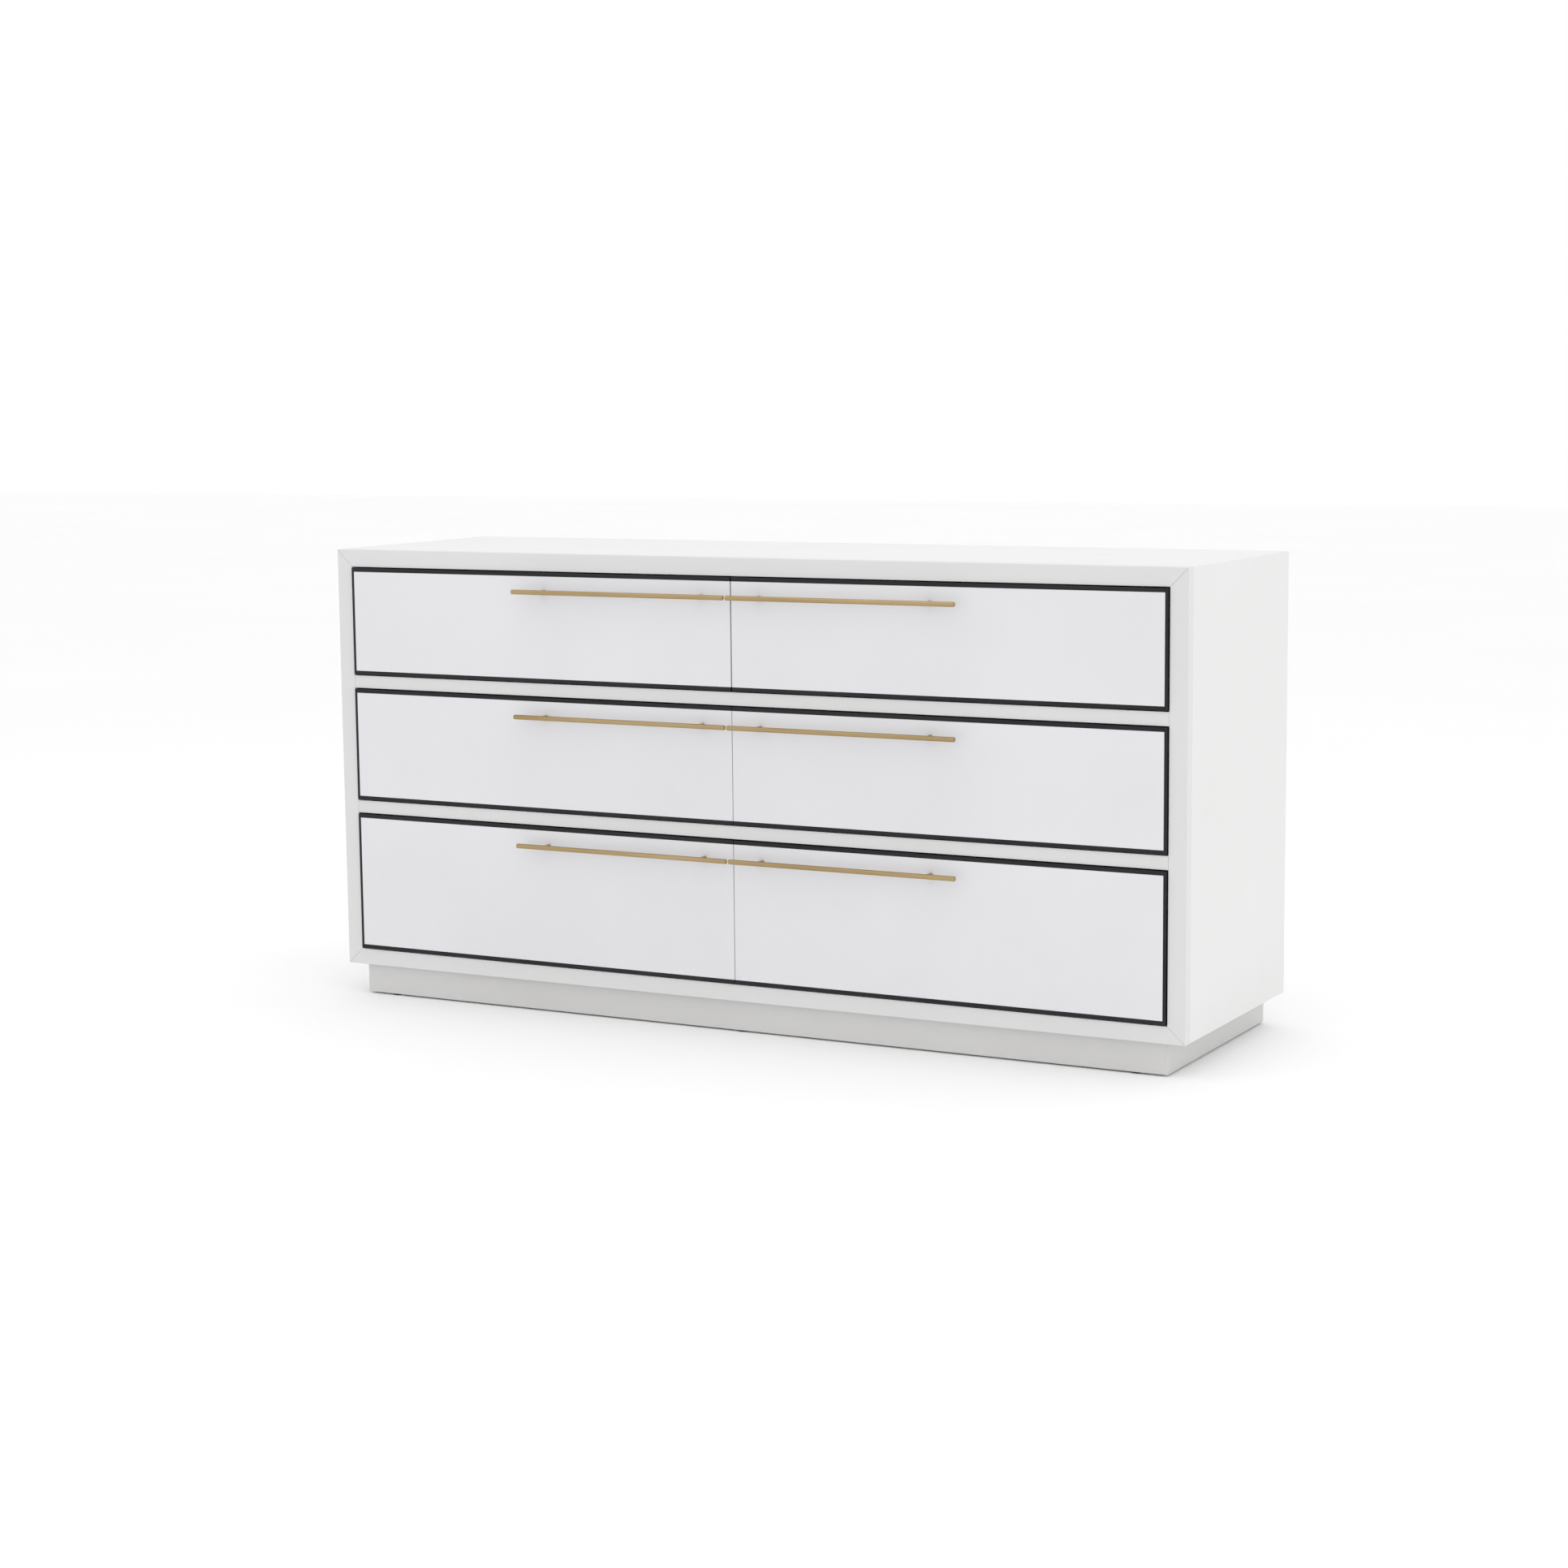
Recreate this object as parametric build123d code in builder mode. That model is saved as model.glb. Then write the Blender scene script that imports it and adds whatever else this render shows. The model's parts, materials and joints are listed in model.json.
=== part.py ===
from build123d import *
import os

# Dresser with six drawers in three rows of two.
# Millimetres. +X to the right, the drawers face -Y, +Z up.
# The origin is on the floor, at the middle of the whole object's footprint, pulls included.

os.makedirs("parts", exist_ok=True)

# ---- driving dimensions ----
CASE_WIDTH = 1575.0          # 62 in
CASE_DEPTH = 457.0           # 18 in
CASE_HEIGHT = 787.0          # 31 in, floor to top
PLINTH_HEIGHT = 54.0
PANEL = 30.0                 # thickness of the top and the sides
BOTTOM_PANEL = 28.0
LIPPING = 19.0               # depth of the mitred lippings and rails on the case front
EDGE_EASE = 1.2              # rounding of the case's outer edges
JOINT_GROOVE = 0.35          # small bevel where two lacquered pieces meet
BACK_PANEL = 6.0
REBATE = 9.0
PARTITION = 19.0

RAIL = 22.0                  # height of the rails between rows
UPPER_OPENING = 189.5
MIDDLE_OPENING = 198.5

PLINTH_BOARD = 18.0
PLINTH_FRONT_INSET = 12.0
PLINTH_SIDE_INSET = 33.5
PLINTH_BACK_INSET = 5.0
GLIDE_HEIGHT = 3.0
GLIDE_RADIUS = 8.0
GLIDE_SPREAD = 700.0
GLIDE_EASE = 0.6

FRONT_THICKNESS = 19.0       # drawer front panel and its trim
FRONT_PROUD = 3.5            # drawer front stands out from the case front
SIDE_GAP = 1.5               # between trim and stile
LEVEL_GAP = 1.8              # between trim and rail, above and below
SIDE_TRIM = 5.0
LEVEL_TRIM = 6.5
TRIM_EASE = 0.5
SEAM_GAPS = {"upper": 2.4, "middle": 1.2, "lower": 1.2}

PULL_RADIUS = 4.0
PULL_LENGTH = 408.0
PULL_SPACING = 304.8         # 12 in between posts
PULL_INNER_POST = 54.0       # from the middle of the dresser to the first post
PULL_STANDOFF = 20.5         # drawer face to bar axis
PULL_DROP = 34.0             # top of the opening to the bar axis
PULL_BEVEL = 0.6
POST_RADIUS = 3.25

BOX_BOARD = 12.0
BOX_DEPTH = 400.0
BOX_LIFT = 15.0              # box above the foot of its opening
BOX_HEIGHTS = {"upper": 140.0, "middle": 150.0, "lower": 190.0}
BOX_FINGERS = {"upper": 9, "middle": 9, "lower": 11}
BOX_BOTTOM = 6.0
BOX_BOTTOM_LIFT = 12.0
BOX_GROOVE = 5.0
BOX_EASE = 1.0

SLIDE_SPACE = 12.7           # room for one slide beside a drawer box
SLIDE_LENGTH = 400.0
SLIDE_GAUGE = 1.2            # sheet thickness
SLIDE_BEND = 2.0
SLIDE_START = 24.0           # from the case front to the slides' front ends
CHANNEL_HEIGHT = 45.0        # cabinet member, over the flanges
CHANNEL_REACH = 10.5
MIDDLE_HEIGHT = 35.4
MIDDLE_WEB = 2.4             # cabinet face to the middle member's web
MIDDLE_REACH = 10.3
DRAWER_MEMBER_HEIGHT = 25.8
DRAWER_MEMBER_REACH = 7.9

# ---- places worked out from them ----
OVERALL_DEPTH = CASE_DEPTH + FRONT_PROUD + PULL_STANDOFF + PULL_RADIUS
Y_BACK = OVERALL_DEPTH / 2
Y_FRONT = Y_BACK - CASE_DEPTH
Y_LIPPING = Y_FRONT + LIPPING
Y_BACK_PANEL = Y_BACK - BACK_PANEL
Y_FACE = Y_FRONT - FRONT_PROUD
Y_BOX = Y_FACE + FRONT_THICKNESS
Y_PULL = Y_FACE - PULL_STANDOFF
Y_SLIDE = Y_FRONT + SLIDE_START

HALF_WIDTH = CASE_WIDTH / 2
HALF_INSIDE = HALF_WIDTH - PANEL
HALF_PARTITION = PARTITION / 2
Z_FLOOR_PANEL = PLINTH_HEIGHT + BOTTOM_PANEL
Z_CEILING = CASE_HEIGHT - PANEL

Z_UPPER = (Z_CEILING - UPPER_OPENING, Z_CEILING)
Z_MIDDLE = (Z_UPPER[0] - RAIL - MIDDLE_OPENING, Z_UPPER[0] - RAIL)
Z_LOWER = (Z_FLOOR_PANEL, Z_MIDDLE[0] - RAIL)
ROWS = {"upper": Z_UPPER, "middle": Z_MIDDLE, "lower": Z_LOWER}
SIDES = {"left": -1, "right": 1}

BOX_INNER_X = HALF_PARTITION + SLIDE_SPACE
BOX_OUTER_X = HALF_INSIDE - SLIDE_SPACE


# ---- helpers ----
def block(x, y, z, mode=Mode.ADD):
    """Add or cut a rectangular block between the limits x, y and z, each a (low, high) pair."""
    with Locations((x[0], y[0], z[0])):
        Box(x[1] - x[0], y[1] - y[0], z[1] - z[0], align=Align.MIN, mode=mode)


def mirrored(side, near, far):
    """Limits along X of something between near and far from the middle, on side -1 or +1."""
    return tuple(sorted((side * near, side * far)))


def upright(points, y):
    """Add the prism of an outline given in X and Z, between the two Y limits."""
    with BuildSketch(Plane.XZ.offset(-y[1])) as outline:
        Polygon(*points, align=None)
    extrude(outline.sketch, amount=y[1] - y[0])


def channel(web, tip, height, z, y):
    """Add a rolled C-section lying along Y, its web at x = web and its flanges out to x = tip."""
    reach = (height - SLIDE_GAUGE) / 2
    path = ((tip, z + reach), (web, z + reach), (web, z - reach), (tip, z - reach))
    with BuildSketch(Plane.XZ.offset(-y[1])) as section:
        with BuildLine():
            FilletPolyline(*path, radius=SLIDE_BEND)
        trace(line_width=SLIDE_GAUGE)
    extrude(section.sketch, amount=y[1] - y[0])


def front_edges(piece):
    """Edges of the piece's front face, shortest first."""
    return piece.edges().group_by(Axis.Y)[0].sort_by(SortBy.LENGTH)


def back_edges(piece):
    """Edges of the piece's back face, shortest first."""
    return piece.edges().group_by(Axis.Y)[-1].sort_by(SortBy.LENGTH)


def write(node, label):
    """Label a finished node and write it."""
    node.label = label
    export_step(node, f"parts/{label}.step")


def write_group(pieces, label):
    """Write several touching pieces as one node of separate solids."""
    write(Compound(children=[piece.part for piece in pieces]), label)


# ---- case ----
# The case's outer shape with eased edges; the visible pieces are trimmed to it.
with BuildPart() as case_shape:
    block((-HALF_WIDTH, HALF_WIDTH), (Y_FRONT, Y_BACK), (PLINTH_HEIGHT, CASE_HEIGHT))
    fillet(case_shape.edges(), radius=EDGE_EASE)

with BuildPart() as back_panel:
    edge_x = HALF_INSIDE + REBATE
    block((-edge_x, edge_x), (Y_BACK_PANEL, Y_BACK), (Z_FLOOR_PANEL - REBATE, Z_CEILING + REBATE))
write(back_panel.part, "back_panel")

# Outlines in X and Z of the four members round the case; their ends are mitred.
TOP_OUTLINE = (
    (-HALF_WIDTH, CASE_HEIGHT),
    (HALF_WIDTH, CASE_HEIGHT),
    (HALF_INSIDE, Z_CEILING),
    (-HALF_INSIDE, Z_CEILING),
)
BOTTOM_OUTLINE = (
    (-HALF_WIDTH, PLINTH_HEIGHT),
    (HALF_WIDTH, PLINTH_HEIGHT),
    (HALF_INSIDE, Z_FLOOR_PANEL),
    (-HALF_INSIDE, Z_FLOOR_PANEL),
)
LEFT_OUTLINE = (
    (-HALF_WIDTH, PLINTH_HEIGHT),
    (-HALF_WIDTH, CASE_HEIGHT),
    (-HALF_INSIDE, Z_CEILING),
    (-HALF_INSIDE, Z_FLOOR_PANEL),
)
RIGHT_OUTLINE = tuple((-x, z) for x, z in LEFT_OUTLINE)
CASE_MEMBERS = {
    "top": (TOP_OUTLINE, "top_lipping", "top_panel"),
    "bottom": (BOTTOM_OUTLINE, "bottom_lipping", "bottom_panel"),
    "left": (LEFT_OUTLINE, "left_lipping", "left_side_panel"),
    "right": (RIGHT_OUTLINE, "right_lipping", "right_side_panel"),
}

for outline_points, lipping_name, panel_name in CASE_MEMBERS.values():
    # Solid lipping on the case front, with a fine groove at its mitres and behind it.
    with BuildPart() as lipping:
        upright(outline_points, (Y_FRONT, Y_LIPPING))
        chamfer(front_edges(lipping)[:3], length=JOINT_GROOVE)
        chamfer(back_edges(lipping)[-1], length=JOINT_GROOVE)
        add(case_shape.part, mode=Mode.INTERSECT)
    write(lipping.part, lipping_name)

    # Panel behind it, rebated for the back panel.
    with BuildPart() as panel:
        upright(outline_points, (Y_LIPPING, Y_BACK))
        chamfer(front_edges(panel)[-1], length=JOINT_GROOVE)
        add(case_shape.part, mode=Mode.INTERSECT)
        add(back_panel.part, mode=Mode.SUBTRACT)
    write(panel.part, panel_name)

for rail_name, z_foot in (("upper_rail", Z_MIDDLE[1]), ("lower_rail", Z_LOWER[1])):
    with BuildPart() as rail:
        block((-HALF_INSIDE, HALF_INSIDE), (Y_FRONT, Y_LIPPING), (z_foot, z_foot + RAIL))
        chamfer(front_edges(rail), length=JOINT_GROOVE)
    write(rail.part, rail_name)

with BuildPart() as centre_partition:
    block((-HALF_PARTITION, HALF_PARTITION), (Y_LIPPING, Y_BACK_PANEL), (Z_FLOOR_PANEL, Z_CEILING))
write(centre_partition.part, "centre_partition")

# ---- plinth ----
PLINTH_X = HALF_WIDTH - PLINTH_SIDE_INSET
PLINTH_Y = Y_FRONT + PLINTH_FRONT_INSET
PLINTH_END_Y = Y_BACK - PLINTH_BACK_INSET
PLINTH_RISE = PLINTH_HEIGHT - GLIDE_HEIGHT

with BuildPart() as plinth_front:
    with BuildSketch(Plane.XY.offset(GLIDE_HEIGHT)):
        Polygon(
            (-PLINTH_X, PLINTH_Y),
            (PLINTH_X, PLINTH_Y),
            (PLINTH_X - PLINTH_BOARD, PLINTH_Y + PLINTH_BOARD),
            (-PLINTH_X + PLINTH_BOARD, PLINTH_Y + PLINTH_BOARD),
            align=None,
        )
    extrude(amount=PLINTH_RISE)
write(plinth_front.part, "plinth_front")

with BuildPart() as plinth_back:
    inner_x = PLINTH_X - PLINTH_BOARD
    y_limits = (PLINTH_END_Y - PLINTH_BOARD, PLINTH_END_Y)
    block((-inner_x, inner_x), y_limits, (GLIDE_HEIGHT, PLINTH_HEIGHT))
write(plinth_back.part, "plinth_back")

for side_name, side in SIDES.items():
    with BuildPart() as plinth_side:
        with BuildSketch(Plane.XY.offset(GLIDE_HEIGHT)):
            Polygon(
                (side * PLINTH_X, PLINTH_Y),
                (side * PLINTH_X, PLINTH_END_Y),
                (side * (PLINTH_X - PLINTH_BOARD), PLINTH_END_Y),
                (side * (PLINTH_X - PLINTH_BOARD), PLINTH_Y + PLINTH_BOARD),
                align=None,
            )
        extrude(amount=PLINTH_RISE)
    write(plinth_side.part, f"plinth_{side_name}")

with BuildPart() as floor_glides:
    y_near = PLINTH_Y + PLINTH_BOARD / 2
    y_far = PLINTH_END_Y - PLINTH_BOARD / 2
    with BuildSketch(Plane.XY):
        with Locations((0, (y_near + y_far) / 2)):
            with GridLocations(GLIDE_SPREAD, y_far - y_near, 3, 2):
                Circle(GLIDE_RADIUS)
    extrude(amount=GLIDE_HEIGHT)
    chamfer(floor_glides.edges().group_by(Axis.Z)[0], length=GLIDE_EASE)
write(floor_glides.part, "floor_glides")

# ---- drawer slides on the case ----
SLIDE_Y = (Y_SLIDE, Y_SLIDE + SLIDE_LENGTH)
HALF_GAUGE = SLIDE_GAUGE / 2


def slide_height(row_name):
    """Height of a row's slides: the middle of its drawer boxes."""
    return ROWS[row_name][0] + BOX_LIFT + BOX_HEIGHTS[row_name] / 2


def slide_faces(side):
    """The two cabinet faces that carry a drawer's slides, and which way each slide opens."""
    return ((side * HALF_PARTITION, side), (side * HALF_INSIDE, -side))


with BuildPart() as cabinet_slide_channels:
    for row_name in ROWS:
        for side in SIDES.values():
            for face_x, way in slide_faces(side):
                web_x = face_x + way * HALF_GAUGE
                tip_x = face_x + way * CHANNEL_REACH
                channel(web_x, tip_x, CHANNEL_HEIGHT, slide_height(row_name), SLIDE_Y)
write(cabinet_slide_channels.part, "cabinet_slide_channels")


# ---- drawers ----
def make_front(name, side, row_name):
    """Drawer front panel and the three mitred trim strips on its outer edges."""
    seam = SEAM_GAPS[row_name] / 2
    edge = HALF_INSIDE - SIDE_GAP
    inner = edge - SIDE_TRIM
    low = ROWS[row_name][0] + LEVEL_GAP
    top = ROWS[row_name][1] - LEVEL_GAP
    panel_low = low + LEVEL_TRIM
    panel_top = top - LEVEL_TRIM
    depth = (Y_FACE, Y_FACE + FRONT_THICKNESS)

    with BuildPart() as front:
        block(mirrored(side, seam, inner), depth, (panel_low, panel_top))
        chamfer(front_edges(front), length=JOINT_GROOVE)
    write(front.part, f"{name}_front")

    outlines = (
        ((seam, top), (edge, top), (inner, panel_top), (seam, panel_top)),
        ((seam, low), (edge, low), (inner, panel_low), (seam, panel_low)),
        ((edge, low), (edge, top), (inner, panel_top), (inner, panel_low)),
    )
    strips = []
    for points in outlines:
        with BuildPart() as strip:
            upright(tuple((side * x, z) for x, z in points), depth)
            chamfer(front_edges(strip)[-1], length=TRIM_EASE)
        strips.append(strip)
    write_group(strips, f"{name}_trim")


def make_box(name, side, row_name):
    """Finger-jointed drawer box of four boards, and the bottom let into their grooves."""
    foot = ROWS[row_name][0] + BOX_LIFT
    height = BOX_HEIGHTS[row_name]
    finger = height / BOX_FINGERS[row_name]
    x = mirrored(side, BOX_INNER_X, BOX_OUTER_X)
    y = (Y_BOX, Y_BOX + BOX_DEPTH)
    z = (foot, foot + height)
    corners_x = ((x[0], x[0] + BOX_BOARD), (x[1] - BOX_BOARD, x[1]))
    corners_y = ((y[0], y[0] + BOX_BOARD), (y[1] - BOX_BOARD, y[1]))
    slots = [(foot + i * finger, foot + (i + 1) * finger) for i in range(BOX_FINGERS[row_name])]

    with BuildPart() as bottom:
        inset = BOX_BOARD - BOX_GROOVE
        z_low = foot + BOX_BOTTOM_LIFT
        block((x[0] + inset, x[1] - inset), (y[0] + inset, y[1] - inset), (z_low, z_low + BOX_BOTTOM))
    write(bottom.part, f"{name}_bottom")

    boards = []
    for board_x in corners_x:
        with BuildPart() as side_board:
            block(board_x, y, z)
            chamfer(side_board.edges().filter_by(Axis.Y).group_by(Axis.Z)[-1], length=BOX_EASE)
            for corner_y in corners_y:
                for slot in slots[1::2]:
                    block(board_x, corner_y, slot, mode=Mode.SUBTRACT)
            add(bottom.part, mode=Mode.SUBTRACT)
        boards.append(side_board)
    for board_y in corners_y:
        with BuildPart() as end_board:
            block(x, board_y, z)
            for corner_x in corners_x:
                for slot in slots[0::2]:
                    block(corner_x, board_y, slot, mode=Mode.SUBTRACT)
            add(bottom.part, mode=Mode.SUBTRACT)
        boards.append(end_board)
    write_group(boards, f"{name}_box")


def make_pull(name, side, row_name):
    """Round bar pull on two posts."""
    z = ROWS[row_name][1] - PULL_DROP
    middle_x = side * (PULL_INNER_POST + PULL_SPACING / 2)

    with BuildPart() as bar:
        with BuildSketch(Plane.YZ.offset(middle_x - PULL_LENGTH / 2)):
            with Locations((Y_PULL, z)):
                Circle(PULL_RADIUS)
        extrude(amount=PULL_LENGTH)
        chamfer(bar.edges().filter_by(GeomType.CIRCLE), length=PULL_BEVEL)
    pieces = [bar]
    for post_x in (middle_x - PULL_SPACING / 2, middle_x + PULL_SPACING / 2):
        with BuildPart() as post:
            with BuildSketch(Plane.XZ.offset(-Y_FACE)):
                with Locations((post_x, z)):
                    Circle(POST_RADIUS)
            extrude(amount=PULL_STANDOFF)
            add(bar.part, mode=Mode.SUBTRACT)
        pieces.append(post)
    write_group(pieces, f"{name}_pull")


def make_slides(name, side, row_name):
    """The members of the two slides that move with the drawer, fully and by half."""
    z = slide_height(row_name)

    with BuildPart() as drawer_members:
        for face_x, way in slide_faces(side):
            web_x = face_x + way * (SLIDE_SPACE - HALF_GAUGE)
            tip_x = face_x + way * (SLIDE_SPACE - DRAWER_MEMBER_REACH)
            channel(web_x, tip_x, DRAWER_MEMBER_HEIGHT, z, SLIDE_Y)
    write(drawer_members.part, f"{name}_slides")

    with BuildPart() as middle_members:
        for face_x, way in slide_faces(side):
            web_x = face_x + way * (MIDDLE_WEB + HALF_GAUGE)
            tip_x = face_x + way * MIDDLE_REACH
            channel(web_x, tip_x, MIDDLE_HEIGHT, z, SLIDE_Y)
    write(middle_members.part, f"{name}_middle_slides")


for row in ROWS:
    for side_name, side in SIDES.items():
        drawer = f"{row}_{side_name}_drawer"
        make_front(drawer, side, row)
        make_box(drawer, side, row)
        make_pull(drawer, side, row)
        make_slides(drawer, side, row)
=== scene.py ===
import json
import math

import bmesh
import bpy
from mathutils import Matrix, Vector


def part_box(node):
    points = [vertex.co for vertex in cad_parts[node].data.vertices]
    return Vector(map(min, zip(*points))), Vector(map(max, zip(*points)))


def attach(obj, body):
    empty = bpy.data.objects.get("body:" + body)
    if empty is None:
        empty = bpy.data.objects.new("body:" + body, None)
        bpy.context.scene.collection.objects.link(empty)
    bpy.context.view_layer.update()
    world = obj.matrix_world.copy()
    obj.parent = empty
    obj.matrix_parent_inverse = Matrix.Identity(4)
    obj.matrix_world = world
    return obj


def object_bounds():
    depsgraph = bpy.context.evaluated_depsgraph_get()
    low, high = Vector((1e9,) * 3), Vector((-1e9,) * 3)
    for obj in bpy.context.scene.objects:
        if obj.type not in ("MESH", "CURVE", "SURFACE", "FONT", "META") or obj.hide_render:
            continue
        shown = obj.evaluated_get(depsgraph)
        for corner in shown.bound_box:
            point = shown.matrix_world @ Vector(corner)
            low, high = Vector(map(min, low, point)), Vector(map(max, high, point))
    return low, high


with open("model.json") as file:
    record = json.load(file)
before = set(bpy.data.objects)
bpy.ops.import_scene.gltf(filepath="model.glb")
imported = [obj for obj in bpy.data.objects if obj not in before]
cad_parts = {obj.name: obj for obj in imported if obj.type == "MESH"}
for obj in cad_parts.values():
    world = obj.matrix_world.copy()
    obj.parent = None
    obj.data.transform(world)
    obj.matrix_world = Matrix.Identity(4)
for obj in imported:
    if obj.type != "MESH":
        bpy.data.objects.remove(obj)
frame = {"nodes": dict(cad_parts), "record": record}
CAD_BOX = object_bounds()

# Metres, in the frame of the CAD model: +X right, the drawers face -Y, +Z up, the floor at z = 0.

ROWS = ("upper", "middle", "lower")
SIDES = {"left": -1, "right": 1}
OVERALL_WIDTH = CAD_BOX[1][0] - CAD_BOX[0][0]
CASE_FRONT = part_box("top_lipping")[0][1]


# ---- node helpers ----
# Noise textures keep mostly between these two values.
NOISE_LOW = 0.25
NOISE_HIGH = 0.75
UNTINTED = (1.0, 1.0, 1.0)


class Nodes:
    """A material's node tree, with short calls for the nodes used here."""

    def __init__(self, name):
        self.material = bpy.data.materials.new(name)
        self.material.use_nodes = True
        self.tree = self.material.node_tree
        self.shader = self.tree.nodes["Principled BSDF"]
        self.point = self.add("ShaderNodeTexCoord").outputs["Object"]

    def add(self, kind, **settings):
        node = self.tree.nodes.new(kind)
        for key, value in settings.items():
            setattr(node, key, value)
        return node

    def link(self, source, target):
        self.tree.links.new(source, target)

    def scaled(self, scale):
        """The object's coordinates stretched by a factor along each axis."""
        node = self.add("ShaderNodeMapping")
        node.inputs["Scale"].default_value = scale
        self.link(self.point, node.inputs["Vector"])
        return node.outputs["Vector"]

    def noise(self, scale, stretch=(1, 1, 1), detail=3.0, rough=0.5, distortion=0.0):
        """Noise in the object's coordinates; a stretch below 1 draws it out along that axis."""
        node = self.add("ShaderNodeTexNoise")
        node.inputs["Scale"].default_value = scale
        node.inputs["Detail"].default_value = detail
        node.inputs["Roughness"].default_value = rough
        node.inputs["Distortion"].default_value = distortion
        self.link(self.scaled(stretch), node.inputs["Vector"])
        return node.outputs["Fac"]

    def ramp(self, source, low, high, start=0.3, end=0.7):
        """A colour that goes from low to high as the source goes from start to end."""
        node = self.add("ShaderNodeValToRGB")
        stops = node.color_ramp.elements
        stops[0].position = start
        stops[1].position = end
        stops[0].color = (*low, 1.0)
        stops[1].color = (*high, 1.0)
        self.link(source, node.inputs["Fac"])
        return node.outputs["Color"]

    def span(self, source, low, high):
        """A number that goes from low to high as noise goes through its usual range."""
        node = self.add("ShaderNodeMapRange")
        node.inputs["From Min"].default_value = NOISE_LOW
        node.inputs["From Max"].default_value = NOISE_HIGH
        node.inputs["To Min"].default_value = low
        node.inputs["To Max"].default_value = high
        self.link(source, node.inputs["Value"])
        return node.outputs["Result"]

    def multiply(self, first, second, amount=1.0):
        """The first colour darkened by the second, as far as amount says."""
        node = self.add("ShaderNodeMix", data_type="RGBA", blend_type="MULTIPLY")
        node.inputs["Factor"].default_value = amount
        self.link(first, node.inputs["A"])
        self.link(second, node.inputs["B"])
        return node.outputs["Result"]

    def bump(self, source, distance, strength=1.0, below=None):
        """A normal bent by a height, on top of another bump where one is given."""
        node = self.add("ShaderNodeBump")
        node.inputs["Distance"].default_value = distance
        node.inputs["Strength"].default_value = strength
        self.link(source, node.inputs["Height"])
        if below is not None:
            self.link(below, node.inputs["Normal"])
        return node.outputs["Normal"]

    def finish(self, colour, roughness, normal, metallic=0.0, **sockets):
        """Join everything to the shader; an underscore in a socket's keyword stands for a space."""
        self.link(colour, self.shader.inputs["Base Color"])
        self.link(roughness, self.shader.inputs["Roughness"])
        self.link(normal, self.shader.inputs["Normal"])
        self.shader.inputs["Metallic"].default_value = metallic
        for key, value in sockets.items():
            self.shader.inputs[key.replace("_", " ")].default_value = value
        return self.material


# ---- materials ----
def lacquer(name, low, high):
    """Sprayed satin lacquer: faint cloudiness, fine orange peel, slightly uneven gloss."""
    n = Nodes(name)
    cloud = n.noise(3.2, detail=4.0)
    speck = n.noise(900.0, detail=1.0)
    colour = n.ramp(cloud, low, high)
    colour = n.multiply(colour, n.ramp(speck, (0.985, 0.985, 0.985), UNTINTED))
    gloss = n.span(n.noise(9.0, detail=5.0), 0.36, 0.46)
    peel = n.bump(n.noise(420.0, detail=2.0), 0.00006)
    waves = n.bump(n.noise(24.0, detail=1.0), 0.0004, 0.25, peel)
    return n.finish(colour, gloss, waves, Coat_Weight=0.12, Coat_Roughness=0.28)


def black_trim():
    """Satin black strip with faint lengthwise streaks and worn, lighter specks."""
    n = Nodes("black_trim_satin")
    streak = n.noise(60.0, (0.06, 1.0, 1.0), detail=4.0)
    colour = n.ramp(streak, (0.005, 0.005, 0.007), (0.013, 0.013, 0.016))
    gloss = n.span(n.noise(35.0, (0.2, 1.0, 1.0), detail=5.0), 0.30, 0.46)
    lines = n.bump(n.noise(700.0, (0.02, 1.0, 1.0), detail=2.0), 0.00005)
    return n.finish(colour, gloss, lines, Specular_IOR_Level=0.3)


def brushed_brass():
    """Brass brushed along the bar, with warm and paler streaks."""
    n = Nodes("brushed_brass")
    broad = n.noise(30.0, (0.12, 1.0, 1.0), detail=3.0)
    fine = n.noise(900.0, (0.015, 1.0, 1.0), detail=3.0)
    colour = n.ramp(broad, (0.42, 0.30, 0.145), (0.53, 0.39, 0.21))
    colour = n.multiply(colour, n.ramp(fine, (0.86, 0.85, 0.82), UNTINTED))
    gloss = n.span(fine, 0.24, 0.40)
    lines = n.bump(fine, 0.00008, 0.7)
    return n.finish(colour, gloss, lines, metallic=1.0, Anisotropic=0.35)


def drawn_out(stretch, share):
    """The same grain direction, with a given share along the grain and 1 across it."""
    return tuple(share if factor < 1.0 else 1.0 for factor in stretch)


def birch(name, low, high, stretch, ring=26.0):
    """Pale clear-lacquered birch: long grain, soft rings and short dark pores."""
    n = Nodes(name)
    rings = n.noise(ring, stretch, detail=6.0, rough=0.6, distortion=0.6)
    fibre = n.noise(900.0, drawn_out(stretch, 0.04), detail=3.0)
    pores = n.noise(420.0, drawn_out(stretch, 0.05), detail=1.0)
    colour = n.ramp(rings, low, high, 0.25, 0.75)
    colour = n.multiply(colour, n.ramp(fibre, (0.88, 0.86, 0.82), UNTINTED))
    colour = n.multiply(colour, n.ramp(pores, (0.72, 0.62, 0.50), UNTINTED, 0.28, 0.36), 0.6)
    gloss = n.span(rings, 0.42, 0.58)
    return n.finish(colour, gloss, n.bump(fibre, 0.00008), Coat_Weight=0.15, Coat_Roughness=0.35)


def zinc():
    """Bright zinc-plated sheet: rolled streaks and a faint mottle."""
    n = Nodes("zinc_plate")
    mottle = n.noise(120.0, detail=4.0)
    rolled = n.noise(500.0, (1.0, 0.03, 1.0), detail=3.0)
    colour = n.ramp(mottle, (0.50, 0.51, 0.53), (0.66, 0.67, 0.69))
    gloss = n.span(rolled, 0.24, 0.40)
    return n.finish(colour, gloss, n.bump(rolled, 0.00004), metallic=1.0)


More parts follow.
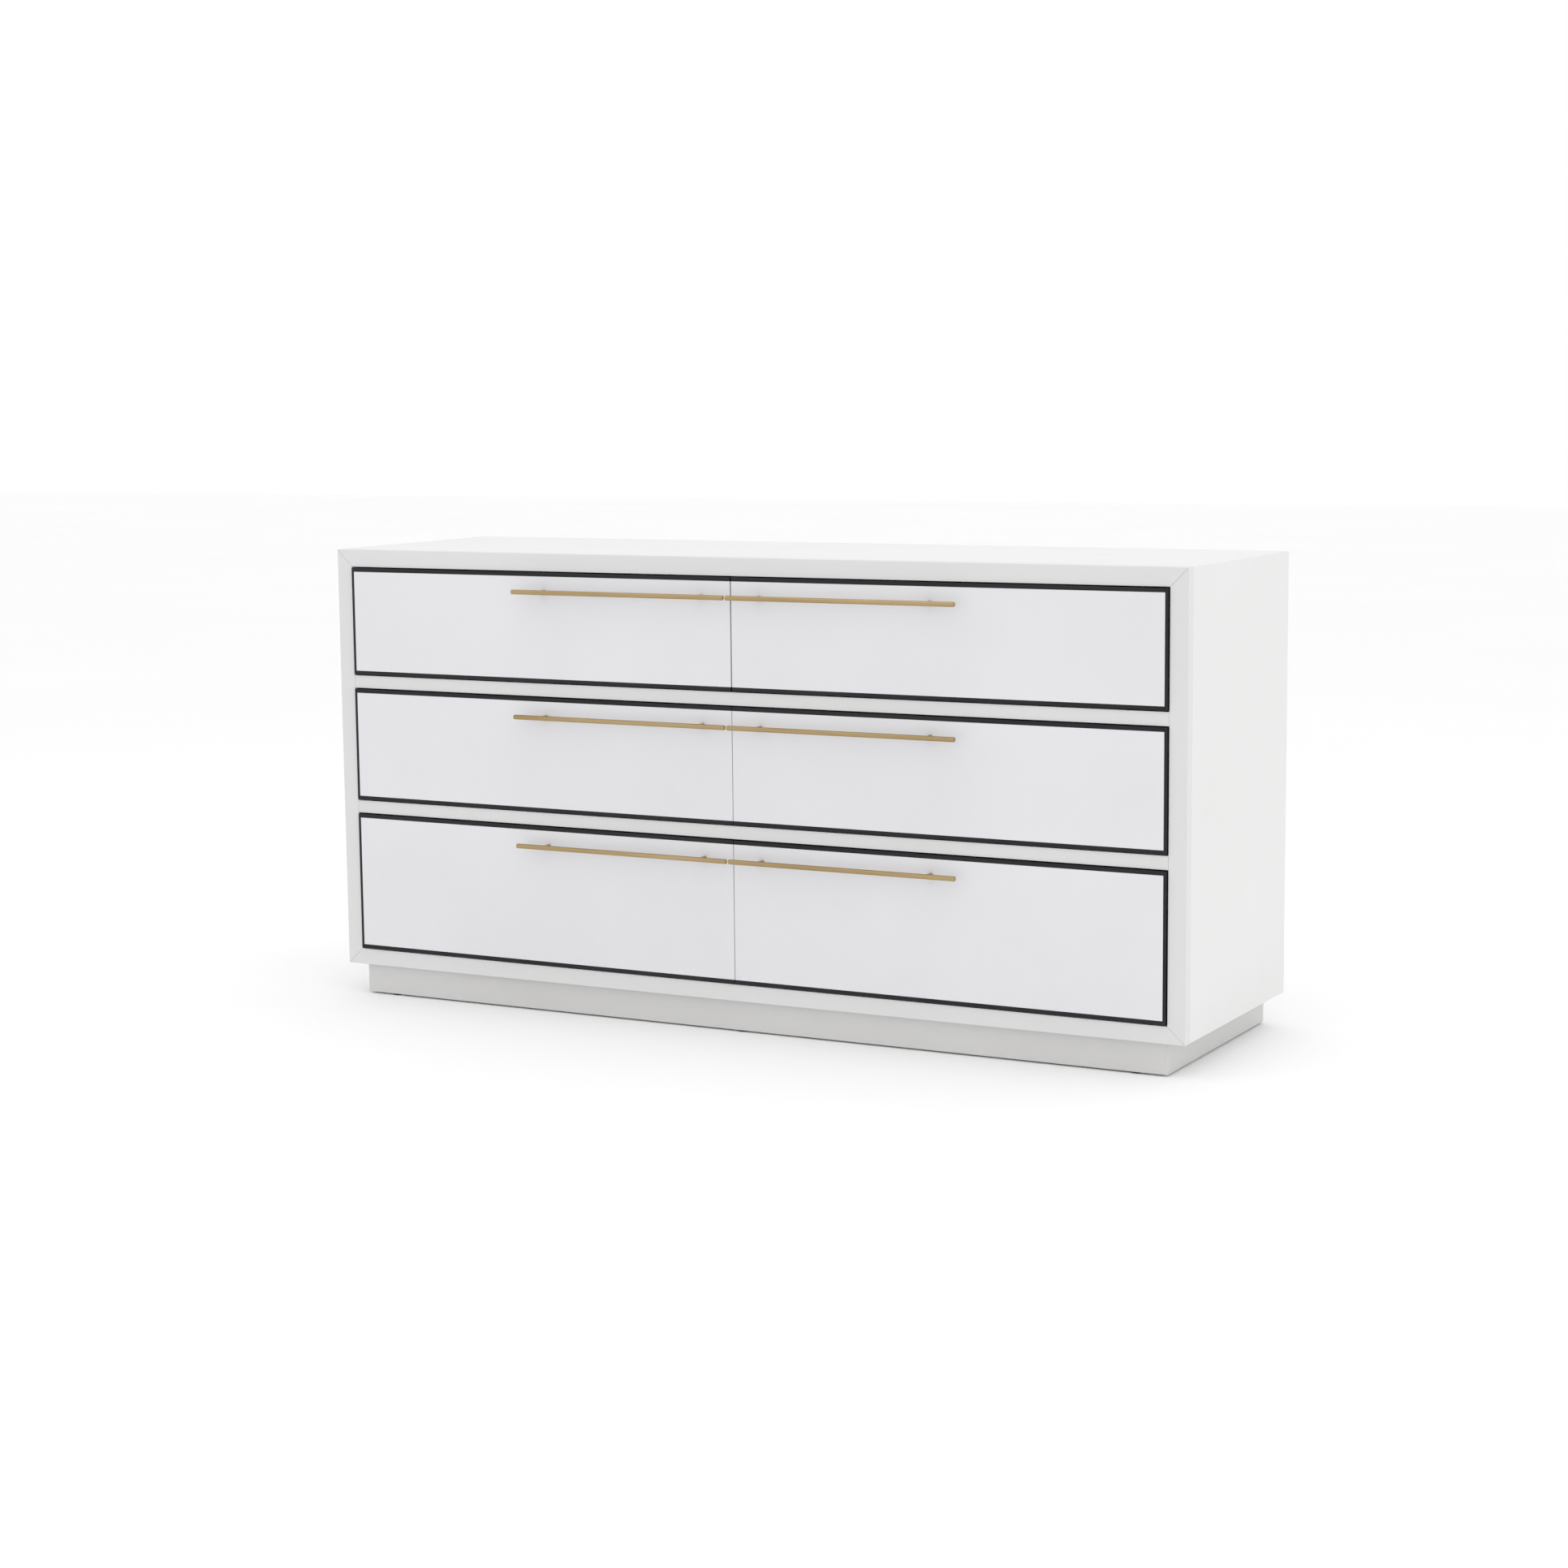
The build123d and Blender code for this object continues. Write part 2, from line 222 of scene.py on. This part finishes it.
def nylon():
    """Matt dark nylon with a fine moulded grain."""
    n = Nodes("glide_nylon")
    grain = n.noise(1600.0, detail=2.0)
    colour = n.ramp(grain, (0.018, 0.018, 0.019), (0.034, 0.034, 0.036))
    return n.finish(colour, n.span(grain, 0.55, 0.72), n.bump(grain, 0.00008))


def floor_paint():
    """Pale matt studio floor with the faintest tonal drift."""
    n = Nodes("studio_floor")
    drift = n.noise(0.8, detail=2.0)
    colour = n.ramp(drift, (0.972, 0.972, 0.974), (0.985, 0.985, 0.985))
    return n.finish(colour, n.span(drift, 0.7, 0.8), n.bump(n.noise(300.0), 0.00005))


def groove_shade_paint():
    """Patchy grey painted shade at the bottom of the grooves between lacquered pieces."""
    n = Nodes("groove_shade_paint")
    patches = n.noise(60.0, detail=4.0)
    colour = n.ramp(patches, (0.30, 0.295, 0.295), (0.46, 0.455, 0.455))
    return n.finish(colour, n.span(patches, 0.6, 0.8), n.bump(patches, 0.00003))


WHITE = lacquer("white_lacquer_satin", (0.748, 0.746, 0.742), (0.772, 0.770, 0.768))
# A darker copy of the case lacquer for the lippings and rails: painted shade on the front of the
# frame.
SHADED_LIPPING_WHITE = lacquer("lipping_lacquer_painted_shade", (0.695, 0.692, 0.692), (0.715, 0.712, 0.712))
FRONT_WHITE = lacquer("drawer_front_lacquer", (0.728, 0.727, 0.752), (0.758, 0.758, 0.782))
# A darker copy of the case lacquer for the plinth: painted shade low down on the case.
SHADED_PLINTH_WHITE = lacquer("plinth_lacquer_painted_shade", (0.610, 0.606, 0.598), (0.640, 0.636, 0.630))
BACK_WHITE = lacquer("back_board_paint", (0.600, 0.595, 0.585), (0.645, 0.640, 0.630))
TRIM = black_trim()
BRASS = brushed_brass()
BOX_WOOD = birch("birch_boards", (0.52, 0.36, 0.20), (0.70, 0.53, 0.33), (0.05, 0.05, 1.0))
PLY_WOOD = birch("birch_plywood", (0.58, 0.42, 0.25), (0.74, 0.58, 0.38), (0.07, 1.0, 1.0), 18.0)
ZINC = zinc()
NYLON = nylon()

FINISHES = {
    "white_lacquer": WHITE,
    "black_trim": TRIM,
    "brass": BRASS,
    "drawer_wood": BOX_WOOD,
    "drawer_bottom": PLY_WOOD,
    "slide_steel": ZINC,
    "glide": NYLON,
}


def paint(obj, material):
    """Give every material slot of an object one finish."""
    if not obj.material_slots:
        obj.data.materials.append(material)
    for material_slot in obj.material_slots:
        material_slot.material = material


SLOTS = {piece["node"]: piece["material_slot"] for piece in frame["record"]["subparts"]}


def finish_of(node_name):
    """The finish of a CAD node: by its name where its paint is its own or is a darker copy carrying
    painted shade, else by its material slot.
    """
    if node_name.endswith("_drawer_front"):
        return FRONT_WHITE
    # Lippings and rails take the darker lacquer copy, which is painted shade on the frame's front.
    if node_name.endswith(("_lipping", "_rail")):
        return SHADED_LIPPING_WHITE
    # The plinth takes the darker lacquer copy, which is painted shade low on the case.
    if node_name.startswith("plinth_"):
        return SHADED_PLINTH_WHITE
    if node_name == "back_panel":
        return BACK_WHITE
    return FINISHES[SLOTS[node_name]]


for cad_name, cad_object in frame["nodes"].items():
    paint(cad_object, finish_of(cad_name))


# ---- small hardware ----
# Pan head with a round socket, as (radius, height): the rim's foot, over the crown, down the socket.
SCREW_OUTLINE = (
    (0.0036, 0.0),
    (0.0038, 0.0006),
    (0.0034, 0.0015),
    (0.0026, 0.0020),
    (0.0014, 0.0021),
    (0.0011, 0.0010),
    (0.0004, 0.0008),
)
SLIDE_SCREW_SCALE = 0.8
SLIDE_SCREW_SHARES = (0.08, 0.5, 0.92)
SCREW_INSET_X = 0.06
SCREW_INSET_Z = 0.03
BOX_BOARD = 0.012
SLIDE_GAUGE = 0.0012
BALL_RADIUS = 0.0015
BALL_PITCH = 0.0052
BALL_COUNT = 22
STRIP_WIDTH = 0.0042
STRIP_THICKNESS = 0.0005
STRIP_END = 0.012
OUTER_RACE_GAP = 0.0018
RACE_REACH = 0.0052
SHARP_ANGLE = math.radians(40)


def lathe(bm, outline, place, steps=24):
    """Spin an outline of (radius, height) points round Z into a closed form at a place."""
    rings = []
    for radius, height in outline:
        ring = []
        for i in range(steps):
            turn = 2 * math.pi * i / steps
            point = Vector((radius * math.cos(turn), radius * math.sin(turn), height))
            ring.append(bm.verts.new(place @ point))
        rings.append(ring)
    for lower, upper in zip(rings, rings[1:]):
        for i in range(steps):
            j = (i + 1) % steps
            bm.faces.new((lower[i], lower[j], upper[j], upper[i]))
    bm.faces.new(list(reversed(rings[0])))
    bm.faces.new(rings[-1])


def finish_piece(bm, name, body, material):
    """Turn a bmesh into a piece that rides on a body and has a finish."""
    bmesh.ops.recalc_face_normals(bm, faces=bm.faces)
    mesh = bpy.data.meshes.new(name)
    bm.to_mesh(mesh)
    bm.free()
    mesh.shade_smooth()
    mesh.set_sharp_from_angle(angle=SHARP_ANGLE)
    obj = bpy.data.objects.new(name, mesh)
    bpy.context.scene.collection.objects.link(obj)
    paint(obj, material)
    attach(obj, body)


def facing(direction, point, scale=1.0):
    """A placement whose Z looks along direction."""
    turn = Vector((0, 0, 1)).rotation_difference(Vector(direction)).to_matrix().to_4x4()
    return Matrix.Translation(point) @ turn @ Matrix.Scale(scale, 4)


def front_screws(drawer):
    """Four screws that hold the front panel, seen inside the drawer box."""
    low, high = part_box(f"{drawer}_box")
    board_back = low[1] + BOX_BOARD
    bm = bmesh.new()
    for x in (low[0] + SCREW_INSET_X, high[0] - SCREW_INSET_X):
        for z in (low[2] + SCREW_INSET_Z, high[2] - SCREW_INSET_Z):
            lathe(bm, SCREW_OUTLINE, facing((0, 1, 0), (x, board_back, z)))
    finish_piece(bm, f"{drawer}_front_screws", drawer, ZINC)


def slide_screws(drawer):
    """Screws through the drawer members of the slides into the box sides."""
    box_low, box_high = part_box(f"{drawer}_box")
    low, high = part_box(f"{drawer}_slides")
    z = (low[2] + high[2]) / 2
    bm = bmesh.new()
    for x, way in ((box_low[0] - SLIDE_GAUGE, -1), (box_high[0] + SLIDE_GAUGE, 1)):
        for share in SLIDE_SCREW_SHARES:
            y = low[1] + share * (high[1] - low[1])
            lathe(bm, SCREW_OUTLINE, facing((way, 0, 0), (x, y, z), SLIDE_SCREW_SCALE))
    finish_piece(bm, f"{drawer}_slide_screws", drawer, ZINC)


def sphere(bm, centre, radius):
    """A ball of a given radius."""
    bmesh.ops.create_icosphere(bm, subdivisions=2, radius=radius, matrix=Matrix.Translation(centre))


def plate(bm, centre, size):
    """A level box of a given size."""
    place = Matrix.Translation(centre) @ Matrix.Diagonal((*size, 1.0))
    bmesh.ops.create_cube(bm, size=1.0, matrix=place)


def ball_strips(drawer):
    """Retainers with their balls in the races above and below each middle member."""
    low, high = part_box(f"{drawer}_middle_slides")
    inner_low, inner_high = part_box(f"{drawer}_slides")
    length = BALL_COUNT * BALL_PITCH
    inner_gap = (high[2] - SLIDE_GAUGE - inner_high[2]) / 2
    bm = bmesh.new()
    for x in (low[0] + RACE_REACH, high[0] - RACE_REACH):
        for foot, top, gap, start in (
            (low[2], high[2], -OUTER_RACE_GAP, high[1] - STRIP_END - length),
            (inner_low[2], inner_high[2], -inner_gap, low[1] + STRIP_END),
        ):
            for z in (foot + gap, top - gap):
                middle = start + length / 2
                plate(bm, (x, middle, z), (STRIP_WIDTH, length, STRIP_THICKNESS))
                for i in range(BALL_COUNT):
                    sphere(bm, (x, start + (i + 0.5) * BALL_PITCH, z), BALL_RADIUS)
    finish_piece(bm, f"{drawer}_ball_strips", f"{drawer}_middle_slides", ZINC)


for row in ROWS:
    for side_name in SIDES:
        drawer_name = f"{row}_{side_name}_drawer"
        front_screws(drawer_name)
        slide_screws(drawer_name)
        ball_strips(drawer_name)


# ---- painted shade in the joint grooves ----
LINE_WIDTH = 0.00055
LINE_THICKNESS = 0.0001
LINE_DEPTH = 0.00012
LINE_INSET = 0.002


def line_plate(bm, start, end, outward):
    """A thin strip between two points, sunk just below a face that looks along outward."""
    start, end, outward = Vector(start), Vector(end), Vector(outward)
    along = (end - start).normalized()
    across = along.cross(outward)
    sides = Matrix((along, across, outward)).transposed().to_4x4()
    size = Matrix.Diagonal(((end - start).length, LINE_WIDTH, LINE_THICKNESS, 1.0))
    middle = (start + end) / 2 - outward * LINE_DEPTH
    bmesh.ops.create_cube(bm, size=1.0, matrix=Matrix.Translation(middle) @ sides @ size)


def painted_groove_shade_lines():
    """Hairlines of painted shade at the mitres, at the rails' ends and behind the lippings on both
    sides.
    """
    outer_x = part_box("top_panel")[1][0]
    inner_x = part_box("upper_rail")[1][0]
    corners = (
        (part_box("top_panel")[1][2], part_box("top_panel")[0][2]),
        (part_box("bottom_panel")[0][2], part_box("bottom_panel")[1][2]),
    )
    joint_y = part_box("top_lipping")[1][1]
    bm = bmesh.new()
    for side in SIDES.values():
        for outer_z, inner_z in corners:
            toward = math.copysign(LINE_INSET, inner_z - outer_z)
            start = (side * (outer_x - LINE_INSET), CASE_FRONT, outer_z + toward)
            line_plate(bm, start, (side * inner_x, CASE_FRONT, inner_z), (0, -1, 0))
        for rail in ("upper_rail", "lower_rail"):
            low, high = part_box(rail)
            foot = (side * inner_x, CASE_FRONT, low[2])
            line_plate(bm, foot, (side * inner_x, CASE_FRONT, high[2]), (0, -1, 0))
        foot = (side * outer_x, joint_y, corners[1][0] + LINE_INSET)
        line_plate(bm, foot, (side * outer_x, joint_y, corners[0][0] - LINE_INSET), (side, 0, 0))
    # The hairlines are grey painted shade, standing in for the shade inside the joint grooves.
    finish_piece(bm, "case_painted_groove_shade_lines", "case", groove_shade_paint())


painted_groove_shade_lines()


# ---- studio ----
def area_light(name, place, aim, size, power):
    """A soft rectangular light at a place, aimed at a point."""
    data = bpy.data.lights.new(name, "AREA")
    data.shape = "RECTANGLE"
    data.size, data.size_y = size
    data.energy = power
    light = bpy.data.objects.new(name, data)
    light.location = place
    light.rotation_euler = (Vector(aim) - Vector(place)).to_track_quat("-Z", "Y").to_euler()
    bpy.context.scene.collection.objects.link(light)


def studio_floor(size=40.0):
    """A square of floor round the origin, which is only stage."""
    bm = bmesh.new()
    bmesh.ops.create_grid(bm, x_segments=8, y_segments=8, size=size / 2)
    mesh = bpy.data.meshes.new("studio_floor")
    bm.to_mesh(mesh)
    bm.free()
    obj = bpy.data.objects.new("studio_floor", mesh)
    bpy.context.scene.collection.objects.link(obj)
    paint(obj, floor_paint())


studio_floor()
area_light("overhead", place=(0.3, -0.4, 3.2), aim=(0, 0, 0.4), size=(4.0, 3.0), power=14.0)
area_light("right_window", place=(3.6, -0.6, 1.6), aim=(0, 0, 0.45), size=(2.6, 2.4), power=7.0)

world = bpy.data.worlds.new("studio_world")
world.use_nodes = True
background = world.node_tree.nodes["Background"]
background.inputs["Color"].default_value = (1.0, 1.0, 1.0, 1.0)
background.inputs["Strength"].default_value = 1.0
bpy.context.scene.world = world
bpy.context.scene.view_settings.view_transform = "Standard"

# ---- camera ----
# The eye is given in shares of the case's width, from the floor below the middle of its front face.
EYE = Vector((1.51993, -2.70446, 0.67723))
YAW = math.radians(28.36946)
PITCH = math.radians(-7.59032)
ROLL = math.radians(-0.57317)
# The sensor is in millimetres, and the focal length is a share of its width.
SENSOR = 36.0
FOCAL_SHARE = 1.918846

ahead = Vector((-math.sin(YAW) * math.cos(PITCH), math.cos(YAW) * math.cos(PITCH), math.sin(PITCH)))
level_right = Vector((math.cos(YAW), math.sin(YAW), 0.0))
level_up = level_right.cross(ahead)
right = level_right * math.cos(ROLL) + level_up * math.sin(ROLL)
up = -level_right * math.sin(ROLL) + level_up * math.cos(ROLL)

camera_data = bpy.data.cameras.new("photo_camera")
camera_data.sensor_width = SENSOR
camera_data.lens = SENSOR * FOCAL_SHARE
camera = bpy.data.objects.new("photo_camera", camera_data)
aim_turn = Matrix((right, up, -ahead)).transposed().to_4x4()
eye_place = EYE * OVERALL_WIDTH + Vector((0, CASE_FRONT, 0))
camera.matrix_world = Matrix.Translation(eye_place) @ aim_turn
bpy.context.scene.collection.objects.link(camera)
bpy.context.scene.camera = camera
